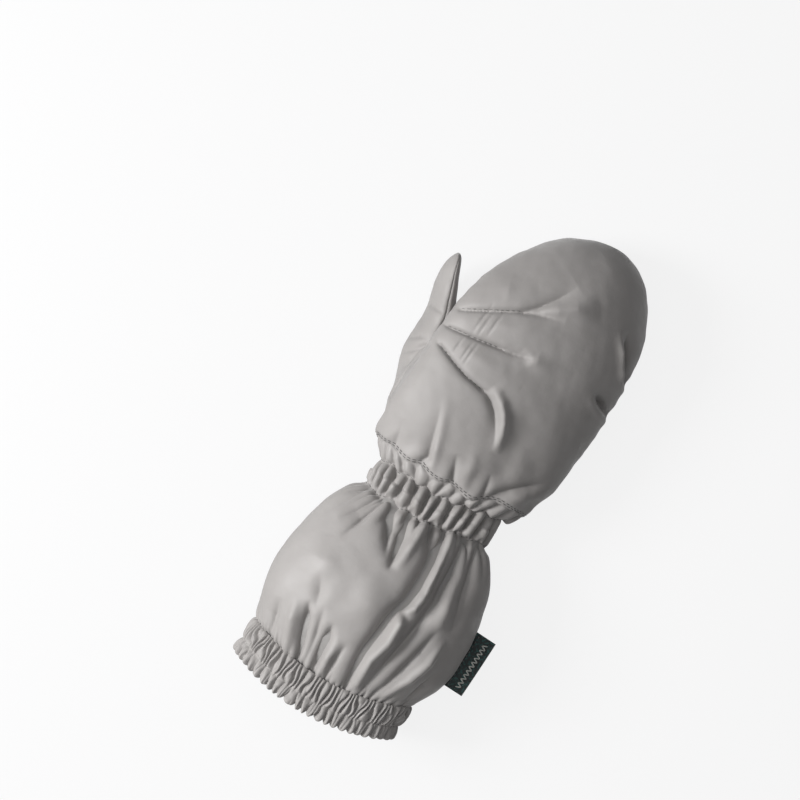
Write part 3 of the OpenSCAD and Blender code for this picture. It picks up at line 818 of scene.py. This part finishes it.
# Each dart pulls the shell in beyond its stitches, and then runs out into soft folds.
HAND_FOLDS = [
    (0.9, [(-39, 169, 0, 1.4), (-34, 172, -1.5, 1.5), (-24, 177.8, -1.6, 1.6), (-15, 183.1, -2.1, 1.9),
           (-10, 188.5, -3, 2), (-5, 196, -2.2, 2.8), (-1, 204, 0, 3.6)]),
    (1.1, [(-17, 182, 0, 1.2), (-12, 184.5, -1.8, 1.2), (-5, 187, -1.4, 1.6), (2, 189, 0, 2)]),
    (2, [(-9, 187, 0, 1.8), (-3, 191.5, 1.9, 2.8), (3, 196, 2.4, 3.8), (11, 202, 0.8, 6), (20, 209, 0, 7)]),
    (0.9, [(-40, 161.6, 0, 1.4), (-35, 162.3, -1.4, 1.5), (-25, 163.8, -1.5, 1.5), (-13, 165.8, -1.9, 1.6),
           (-8, 167, -2.8, 1.5), (-3, 168.6, -1.6, 1.6), (1, 170, 0, 1.6)]),
    (2, [(-6, 170.5, 0, 1.8), (0, 169, 1.3, 2.4), (7, 170.5, 0.6, 4), (16, 174, 0, 5)]),
    (0.9, [(-38, 155.5, 0, 1.4), (-34, 153.4, -1.5, 1.5), (-27.5, 151.2, -1.7, 1.6), (-20, 149, -1.9, 1.6),
           (-11, 148, -2.4, 1.8), (-8, 147.4, -2.9, 1.9), (-5, 146, -3.4, 2), (-1.8, 143.6, -3.3, 2.1),
           (0.8, 140.6, -3, 2.3), (2.9, 137.4, -2.2, 2.4), (4.5, 134, -1.2, 2.6), (6, 129, 0, 2.6)]),
    (1.9, [(-8, 151, 0, 2.4), (-4.6, 149.6, 1.2, 2.4), (-1.4, 147.4, 2.2, 2.4), (1.4, 144.6, 2.7, 2.4),
           (3.6, 141.2, 2.8, 2.4), (5.3, 137.6, 2.3, 2.4), (6.5, 134, 1.5, 2.4), (7.3, 129, 0, 2.4)]),
    (2, [(11, 152, 0, 5), (13, 138, -1, 5.5), (14, 122, -1.1, 5), (15, 110, 0, 4)]),
    (2, [(-32, 186, 0, 5), (-24, 188, 1.1, 6), (-14, 194, 0, 5)]),
    (2, [(-28, 168, 0, 2.5), (-18, 174, 0.7, 3), (-8, 178, 0.7, 4), (2, 180, 0, 4)]),
    (2, [(-28, 157, 0, 2.5), (-18, 157.5, 0.7, 3), (-8, 158, 0.7, 4), (2, 157, 0, 4)]),
    (1.3, [(42, 182.5, -0.8, 1.4), (37.5, 184.6, -5, 1.7), (34, 189, -6.2, 1.8), (30.5, 195, -4, 2),
           (26, 202, 0, 2.2)]),
    (1.6, [(38, 180, 0.6, 2), (33.5, 185, 2.6, 1.6), (28.5, 192, 2.3, 1.6), (23, 199, 0, 1.8)]),
    (1.3, [(42, 167.7, -0.8, 1.4), (38, 169, -4.2, 1.4), (34.5, 170.3, -5.8, 1.5), (31, 171.3, -2.6, 1.4),
           (28, 172, 0, 1.3)]),
    (2, [(42, 164.5, 0.6, 2.4), (36, 166, 0.9, 2.2), (30, 168.5, 0.6, 2), (27, 171, 0, 2)]),
    (1.3, [(42, 150, -0.8, 1.2), (37.5, 151, -0.6, 1.2), (35, 152, 0, 1.2)]),
    (1.4, [(16, 110, -1.4, 1.6), (21, 115, -1.8, 1.9), (27, 123, -1.6, 2.2), (34, 134, 0, 2.4)]),
    (2, [(21, 110, 0, 2.4), (28, 117, 1.3, 2.8), (36, 130, 0, 3)]),
    (1.2, [(-16, 109.5, -2.2, 1.8), (-14, 113, -2.4, 1.8), (-17, 122, -1.1, 1.8), (-21, 134, 0, 1.8)]),
    (2, [(-10, 110, 0.4, 2), (-13, 118, 1.2, 2.2), (-18, 131, 0.5, 2.2), (-21, 139, 0, 2)]),
    (1.2, [(0, 109.5, -2.2, 1.6), (-2, 114, -2.1, 1.7), (-5, 121, 0, 1.8)]),
    (2, [(5, 110, 0.4, 2), (3, 118, 0.9, 2.6), (0, 128, 0, 2.6)]),
    (1.3, [(13.5, 109.5, -1.6, 1.4), (12.5, 114, -1.2, 1.5), (11, 120, 0, 1.6)]),
    (1.3, [(-28, 109.5, -1.2, 1.4), (-29, 114, -0.7, 1.6), (-31, 121, 0, 2)]),
    (1.3, [(-34, 201, -0.9, 1.2), (-30, 202.5, -0.6, 1.2), (-26, 204, 0, 1.2)]),
    (1.2, [(-48, 166.5, -1, 0.9), (-44, 166, -1, 0.9), (-40.5, 166, 0, 0.9)]),
    (1.2, [(-47.5, 150.5, -0.7, 1), (-44, 153, -1.1, 1.1), (-40, 153.5, 0, 1)]),
    (1.1, [(-48, 142, 0, 1), (-44, 146.5, -1.4, 1.2), (-40.5, 150.5, -1.7, 1.2), (-38, 153, 0, 1)]),
    (1.3, [(-43, 136, 0, 1), (-42.4, 142, -1, 1.2), (-41.5, 148, -1, 1.1), (-41, 152, 0, 1)]),
]
# Fine pinches between the darts, from the machine that gathers them.
PINCHES = [(-27, 164, 181), (-24.6, 164, 179), (-21.2, 166, 180), (-29.2, 153, 163), (-25, 152, 163),
           (-23, 151, 164)]


def hand_relief(p, normal):
    """How far the hand's and thumb's shells stand out from their smooth shape: folds, darts and pinches."""
    x, s = p[..., 0], p[..., 1]
    on_top = smooth((normal[..., 2] - 0.02) / 0.3)
    height = all_folds(x, s, HAND_FOLDS)
    for dart in DARTS:
        (x0, s0), (x1, s1) = dart[0], dart[-1]
        stitched = [(px, ps, -1.4, 0.6) for px, ps in dart]
        height += fold(x, s, 1, [(x0 - 2, s0, 0, 0.6), *stitched, (x1 + 4, s1 + 1, 0, 0.6)])
    for place, first, last in PINCHES:
        middle = (first + last) / 2
        line = [(place, first, 0, 0.6), (place + 0.3, middle, -0.45, 0.6), (place + 0.6, last, 0, 0.6)]
        height += fold(x, s, 2, line)
    height *= on_top
    height += 0.55 * lumps(p, 34, seed=21) + 0.16 * lumps(p, 11, seed=22)
    return height


def seam_pucker(distance, along, seed):
    """A seam's groove, and the small puckers beside it."""
    wave = np.sin(2 * math.pi * along / 8.5 + 2.2 * np.sin(along / 13.0 + seed))
    return -0.9 * np.exp(-distance / 1.1) - 0.16 * (1 + wave) * np.exp(-distance / 4.5)


def ways_across(grid):
    """How far along the cloth each point is from its row's start, and from the nearer seam."""
    cells = np.linalg.norm(np.diff(grid, axis=1), axis=-1)
    way = np.concatenate([np.zeros((len(grid), 1)), np.cumsum(cells, 1)], 1)
    return way, np.minimum(way, way[:, -1:] - way)


def sewn(upper, lower):
    """Makes two shells share their points along both seams."""
    for rim, match in ((0, -1), (-1, 0)):
        middle = (upper[:, rim] + lower[:, match]) / 2
        upper[:, rim] = lower[:, match] = middle
    return upper, lower


def capped(back, palm, rows=8):
    """Closes the fingertip evenly over the last rows, where the shells' columns run together."""
    centre = (back[-rows].mean(0) + palm[-rows].mean(0)) / 2
    for grid in (back, palm):
        rim = grid[-rows].copy()
        for step in range(1, rows):
            grid[step - rows] = rim + (centre - rim) * step / (rows - 1)
    return back, palm


def make_hand(columns=236):
    """The hand's back and palm shells, as two grids that meet along the seam."""
    lower = np.linspace(HAND_SEAM - 0.4, BROAD, 132, endpoint=False)
    tip = BROAD + TIP_L * np.sin(np.linspace(0, math.pi / 2, 136))
    rows = np.r_[lower, tip]
    grids = []
    for first, last in ((0, math.pi), (math.pi, 2 * math.pi)):
        angles = np.linspace(first, last, columns)
        smooth_hand = hand_point(rows[:, None], angles[None, :])
        rim = np.full(columns, HAND_SEAM)
        at_rim = cuff_ring(rim, angles) - hand_point(rim, angles)
        smooth_hand += at_rim * (1 - smooth((rows - HAND_SEAM) / 10))[:, None, None]
        grids.append(melt(smooth_hand, hand_field, thumb_field, -0.6))
    finished = []
    for grid in grids:
        outward = normals_of(grid, False)
        way, to_seam = ways_across(grid)
        tip_way = way_along(grid[:, 0])[:, None]
        relief = hand_relief(grid, outward)
        seam_shows = np.where(grid[..., 0] < 0, smooth((rows[:, None] - 154) / 12), 1)
        seam_shows = seam_shows * smooth((LENGTH - rows[:, None]) / 5)
        relief += seam_pucker(to_seam, tip_way + 0 * way, 1.0) * seam_shows
        edge = smooth((rows - HAND_SEAM) / 2.5)[:, None]
        scallop = 0.5 * np.cos(way * 2 * math.pi / 15.0) * (1 - smooth((rows - HAND_SEAM) / 12))[:, None]
        relief = relief * edge - 0.5 * (1 - edge) + scallop
        shaped = grid + outward * relief[..., None]
        on_floor(shaped)
        finished.append(shaped)
    return capped(*sewn(*finished))


def make_thumb(columns=110):
    """The thumb's back and face shells, whose root lies inside the hand."""
    lower = np.linspace(THUMB_FROM, THUMB_ROUND, 88, endpoint=False)
    rows = np.r_[lower, THUMB_ROUND + (THUMB_TIP - THUMB_ROUND) * np.sin(np.linspace(0, math.pi / 2, 40))]
    finished = []
    for first, last in ((0, math.pi), (math.pi, 2 * math.pi)):
        angles = np.linspace(first, last, columns)
        grid = melt(thumb_point(rows[:, None], angles[None, :]), thumb_field, hand_field, 0.6)
        outward = normals_of(grid, False)
        way, to_seam = ways_across(grid)
        free = smooth((rows - 148) / 8)[:, None]
        relief = hand_relief(grid, outward) + seam_pucker(to_seam, rows[:, None] + 0 * way, 2.0) * free
        finished.append(grid + outward * relief[..., None])
    back, face = sewn(*finished)
    for grid in (back, face):
        on_floor(grid)
    return back, face


# ---- build
cuff, low_row, high_row = make_cuff()
hem = make_hem()
hand_back, hand_palm = make_hand()
thumb_back, thumb_face = make_thumb()

# Millimetres of cloth from one column of points to the next, which set the weave's size.
CUFF_CELL, HEM_CELL, HAND_CELL, THUMB_CELL = 0.7, 0.35, 0.65, 0.6
half = CUFF_COLUMNS // 2
wrist_from = low_row - 3
under_columns = np.r_[np.arange(half, CUFF_COLUMNS), 0]
gauntlet_top, gauntlet_under = cuff[: wrist_from + 1, : half + 1], cuff[: wrist_from + 1, under_columns]


def shell_piece(name, grid, cell, wrap=False):
    """A piece of the shell fabric."""
    return grid_piece(name, to_frame(grid), SHELL, cell, wrap)


gauntlet_back = shell_piece("gauntlet_back", gauntlet_top, CUFF_CELL)
gauntlet_palm = shell_piece("gauntlet_palm", gauntlet_under, CUFF_CELL)
wrist = shell_piece("gathered_wrist", cuff[wrist_from:], CUFF_CELL, wrap=True)
hem_piece = shell_piece("shirred_hem", hem, HEM_CELL, wrap=True)
back_piece = shell_piece("hand_back", hand_back, HAND_CELL)
palm_piece = shell_piece("hand_palm", hand_palm, HAND_CELL)
thumb_back_piece = shell_piece("thumb_back", thumb_back, THUMB_CELL)
thumb_face_piece = shell_piece("thumb_face", thumb_face, THUMB_CELL)


# ---- stitches
def on_top_of(grids, x, s):
    """A point just under the shells' highest near each (x, s) in plan."""
    cloud = np.concatenate([g.reshape(-1, 3) for g in grids])
    found = []
    for px, ps in zip(x, s):
        near = (cloud[:, 0] - px) ** 2 + (cloud[:, 1] - ps) ** 2
        close = cloud[near < max(near.min() * 1.5, 0.6)]
        found.append((px, ps, close[:, 2].max() - 0.25))
    return np.array(found)


def dart_threads():
    """Both ends of each stitch along the darts."""
    starts, ends = [], []
    for dart in DARTS:
        line = np.array(dart, float)
        way = way_along(line)
        places = np.arange(0.6, way[-1] - 1.6, 2.2)
        for shift, store in ((0.0, starts), (1.5, ends)):
            x = np.interp(places + shift, way, line[:, 0])
            s = np.interp(places + shift, way, line[:, 1])
            store.append(on_top_of([hand_back], x, s))
    return np.concatenate(starts), np.concatenate(ends)


def stitches_round(ring, outward, lift, pitch, share=0.66):
    """Stitches along a closed ring of points, lifted off it along its outward normals."""
    ring = ring + outward * lift
    way = way_along(ring)
    places = np.arange(0.2, way[-1] - pitch, pitch)

    def point_at(at):
        """Points at the places along the ring."""
        return np.stack([np.interp(at, way, ring[:, k]) for k in range(3)], -1)

    return point_at(places), point_at(places + pitch * share)


def thread_rows(name, rows, radius):
    """One piece of the stitches in several rows."""
    starts = np.concatenate([row[0] for row in rows])
    ends = np.concatenate([row[1] for row in rows])
    return capsules(name, to_frame(starts), to_frame(ends), radius, THREAD, sides=6)


def closed(ring):
    """A ring whose last point is its first."""
    return np.concatenate([ring, ring[:1]])


def seam_threads():
    """Two rows of stitches right round the hand's lower seam, on its shell."""
    back_out, palm_out = normals_of(hand_back, False), normals_of(hand_palm, False)
    rows = []
    for row in (2, 4):
        ring = np.concatenate([hand_back[row], hand_palm[row][1:]])
        outward = np.concatenate([back_out[row], palm_out[row][1:]])
        rows.append(stitches_round(ring, outward, 0.1, 2.3))
    return thread_rows("seam_threads", rows, 0.2)


def wrist_threads():
    """The two rows that hold the wrist's elastic, down between the puffs."""
    outward = normals_of(cuff, True)
    rows = [stitches_round(closed(cuff[row]), closed(outward[row]), 0.15, 1.9) for row in (low_row, high_row)]
    return thread_rows("wrist_threads", rows, 0.16)


def hem_threads():
    """The row that closes the hem's elastic in, across its gathers."""
    outward = normals_of(hem, True)
    row = int(np.argmin(np.abs(hem[:HEM_OUTER, 0, 1] - HEM_STITCHED)))
    stitches = stitches_round(closed(hem[row]), closed(outward[row]), 0.1, 1.7)
    return thread_rows("hem_threads", [stitches], 0.14)


dart_from, dart_to = dart_threads()
# The dart stitches use the dark thread, whose colour is partly painted shade of the dart creases.
dart_piece = capsules("dart_threads", to_frame(dart_from), to_frame(dart_to), 0.12, THREAD)
seam_piece = seam_threads()
wrist_stitches = wrist_threads()
hem_stitches = hem_threads()


# ---- linings and tab
def make_cuff_lining():
    """The lining tube inside the cuff, set in from its outline and loosely crumpled."""
    places = np.linspace(3, 112, 90)
    grid = np.array([even_ring(max(s, HEM_LINE), 160, 2.6) for s in places])
    grid[..., 1] = places[:, None]
    outward = normals_of(grid, True)
    return grid + outward * (0.9 * lumps(grid * (1, 0.35, 1), 16, seed=31) - 0.6)[..., None]


def make_hand_lining():
    """The fleece sock inside the hand, which narrows to a round end inside the fingertip."""
    mouth, broad, tip = 110, 160, 54
    lower = np.linspace(mouth, broad, 40, endpoint=False)
    s = np.r_[lower, broad + tip * np.sin(np.linspace(0, math.pi / 2, 40))]
    angles = np.linspace(0, 2 * math.pi, 120, endpoint=False)
    middle, half_width, _, _, top, under, _ = hand_section(np.minimum(s, broad))
    full = np.sqrt(np.maximum(1 - np.clip((s - broad) / tip, 0, 1) ** 2, 1e-4))
    inset = 3 + 5 * smooth((s - mouth) / 25)
    x = middle[:, None] + ((half_width - inset) * full)[:, None] * np.cos(angles)
    centre = (top + np.maximum(under, 0)) / 2
    z = centre[:, None] + (((top - np.maximum(under, 0)) / 2 - inset) * full)[:, None] * np.sin(angles)
    grid = np.stack([x, s[:, None] + 0 * x, z], -1)
    return grid + normals_of(grid, True) * (0.5 * lumps(grid, 14, seed=33))[..., None]


cuff_lining = grid_piece("cuff_lining_tube", to_frame(make_cuff_lining()), TAFFETA, 1.2, wrap=True)
hand_lining = grid_piece("hand_lining_sock", to_frame(make_hand_lining()), FLEECE, 1.4, wrap=True)


def make_tab():
    """A folded ribbon that stands out from the side seam, slightly bowed, with a round fold at its edge."""
    low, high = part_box("label_tab")
    width = (high.x - low.x) / MM
    length = (high.y - low.y) / MM
    thick, root, columns = 0.55, -2.5, 22
    outer = width - thick
    turn = np.linspace(0.2, math.pi - 0.2, 9)
    out, back = np.linspace(root, outer, columns), np.linspace(outer, root, columns)
    offset = np.r_[np.full(columns, thick), thick * np.cos(turn), np.full(columns, -thick)]
    along = np.linspace(0, length, 52)
    a, b = np.meshgrid(np.r_[out, outer + thick * np.sin(turn), back], along)
    bow = 0.8 * np.sin(math.pi * b / length) + 0.05 * a * (b / length - 0.5) * 2
    x = low.x / MM + a
    z = (low.z + high.z) / 2 / MM + np.broadcast_to(offset, a.shape) + bow
    return np.stack([x, low.y / MM + b, z], -1)[:, ::-1]


tab_grid = make_tab()
tab = grid_piece("side_tab", tab_grid, TAB, 0.5)


def tab_threads():
    """The stitches that hold the tab in the side seam."""
    row = tab_grid[:, -6]
    places = np.linspace(2, len(row) - 5, 11).astype(int)
    lift = np.array([0, 0, 0.12])
    return row[places] + lift, row[places + 2] + lift


def tab_zigzag():
    """A plain zigzag border along the middle of the tab's upper face."""
    rows = np.arange(4, len(tab_grid) - 4, 2)
    inner, outer = -13, -18
    sides = np.where(np.arange(len(rows)) % 2 == 0, inner, outer)
    points = tab_grid[rows, sides] + np.array([0, 0, 0.1])
    return points[:-1], points[1:]


tab_from, tab_to = tab_threads()
tab_stitches = capsules("tab_threads", tab_from, tab_to, 0.2, THREAD)
zigzag_from, zigzag_to = tab_zigzag()
tab_border = capsules("tab_zigzag", zigzag_from, zigzag_to, 0.26, PALE_THREAD)


# ---- pieces baked into place, some hung on the body they move with, and the model's own parts hidden
for piece in (back_piece, palm_piece, wrist, gauntlet_back, gauntlet_palm, seam_piece, wrist_stitches,
              cuff_lining):
    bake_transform(piece)
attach(hem_piece, "gauntlet")
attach(hem_stitches, "gauntlet")
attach(dart_piece, "hand")
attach(hand_lining, "hand")
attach(tab, "label")
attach(tab_stitches, "label")
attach(tab_border, "label")
for piece in (thumb_back_piece, thumb_face_piece):
    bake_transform(piece)

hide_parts("back_shell", "back_insulation")
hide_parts("palm_shell", "palm_insulation")
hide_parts("back_lining", "palm_lining")
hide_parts("hand_seam_topstitch")
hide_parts("dart_stitches")
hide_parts("thumb_back_shell", "thumb_back_insulation", "thumb_back_lining")
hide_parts("thumb_face_shell", "thumb_face_insulation", "thumb_face_lining")
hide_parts("wrist_sleeve", "wrist_elastic_1", "wrist_elastic_2", "wrist_elastic_3")
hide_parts("wrist_lining", "gauntlet_lining")
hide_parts("gauntlet_back_panel")
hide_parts("gauntlet_palm_panel")
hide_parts("hem_casing", "hem_elastic")
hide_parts("wrist_stitch_rows")
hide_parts("hem_stitch_rows")
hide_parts("label_tab")
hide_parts("label_stitches")


# ---- floor, light and camera
VIEW_TURN = math.atan2(0.55, 0.835)
RIGHT = Vector((math.cos(VIEW_TURN), math.sin(VIEW_TURN), 0))
UP = Vector((-math.sin(VIEW_TURN), math.cos(VIEW_TURN), 0))
LOOK_AT = Vector((-0.0361, 0.012, 0.025))
VIEW_WIDTH = 0.328


def make_floor():
    """A plain pale floor, mostly lit by itself so that it stays even."""
    mesh = bpy.data.meshes.new("floor")
    size = 3.0
    corners = [(-size, -size, 0), (size, -size, 0), (size, size, 0), (-size, size, 0)]
    mesh.from_pydata(corners, [], [(0, 1, 2, 3)])
    material, _, _, shader = new_material("floor", (0.06, 0.06, 0.061), 0.9)
    shader.inputs["Emission Color"].default_value = (1, 1, 1, 1)
    shader.inputs["Emission Strength"].default_value = 0.85
    mesh.materials.append(material)
    floor = bpy.data.objects.new("floor", mesh)
    floor.visible_diffuse = False
    bpy.context.scene.collection.objects.link(floor)


def make_backdrop():
    """A plain pale dome behind everything. Only the camera sees it."""
    bpy.ops.mesh.primitive_uv_sphere_add(segments=48, ring_count=24, radius=2.9)
    dome = bpy.context.object
    dome.name = "backdrop"
    material, _, _, shader = new_material("backdrop", (0, 0, 0), 1.0)
    shader.inputs["Emission Color"].default_value = (1, 1, 1, 1)
    shader.inputs["Emission Strength"].default_value = 0.9
    dome.data.materials.append(material)
    for ray in ("visible_diffuse", "visible_glossy", "visible_transmission", "visible_shadow"):
        setattr(dome, ray, False)


def area_light(name, side, up, height, size, power):
    """A square soft light, placed across and up the view and over the floor, which faces the mitten."""
    data = bpy.data.lights.new(name, "AREA")
    data.energy = power
    data.size = size
    light = bpy.data.objects.new(name, data)
    light.location = RIGHT * side + UP * up + Vector((0, 0, height))
    light.rotation_euler = (Vector((0, 0, 0.02)) - light.location).to_track_quat("-Z", "Y").to_euler()
    bpy.context.scene.collection.objects.link(light)


def make_camera():
    """A long lens that looks straight down, with the mitten turned as it lies in the view."""
    data = bpy.data.cameras.new("camera")
    data.lens = 100
    data.sensor_width = 36
    distance = VIEW_WIDTH * data.lens / data.sensor_width
    camera = bpy.data.objects.new("camera", data)
    back = Vector((0, 0, 1))
    at = LOOK_AT + back * distance
    camera.matrix_world = Matrix([(RIGHT[k], UP[k], back[k], at[k]) for k in range(3)] + [(0, 0, 0, 1)])
    bpy.context.scene.collection.objects.link(camera)
    bpy.context.scene.camera = camera


make_floor()
make_backdrop()
area_light("key", -0.66, 0.14, 0.49, 0.32, 9.8)
area_light("top", -0.12, 0.12, 0.85, 0.7, 2.2)
area_light("mouth", -0.42, -0.6, 0.14, 0.3, 0.8)
world = bpy.data.worlds.new("studio")
world.use_nodes = True
world.node_tree.nodes["Background"].inputs["Color"].default_value = (0.9, 0.9, 0.92, 1)
world.node_tree.nodes["Background"].inputs["Strength"].default_value = 0.17
bpy.context.scene.world = world
bpy.context.scene.view_settings.view_transform = "Standard"
make_camera()
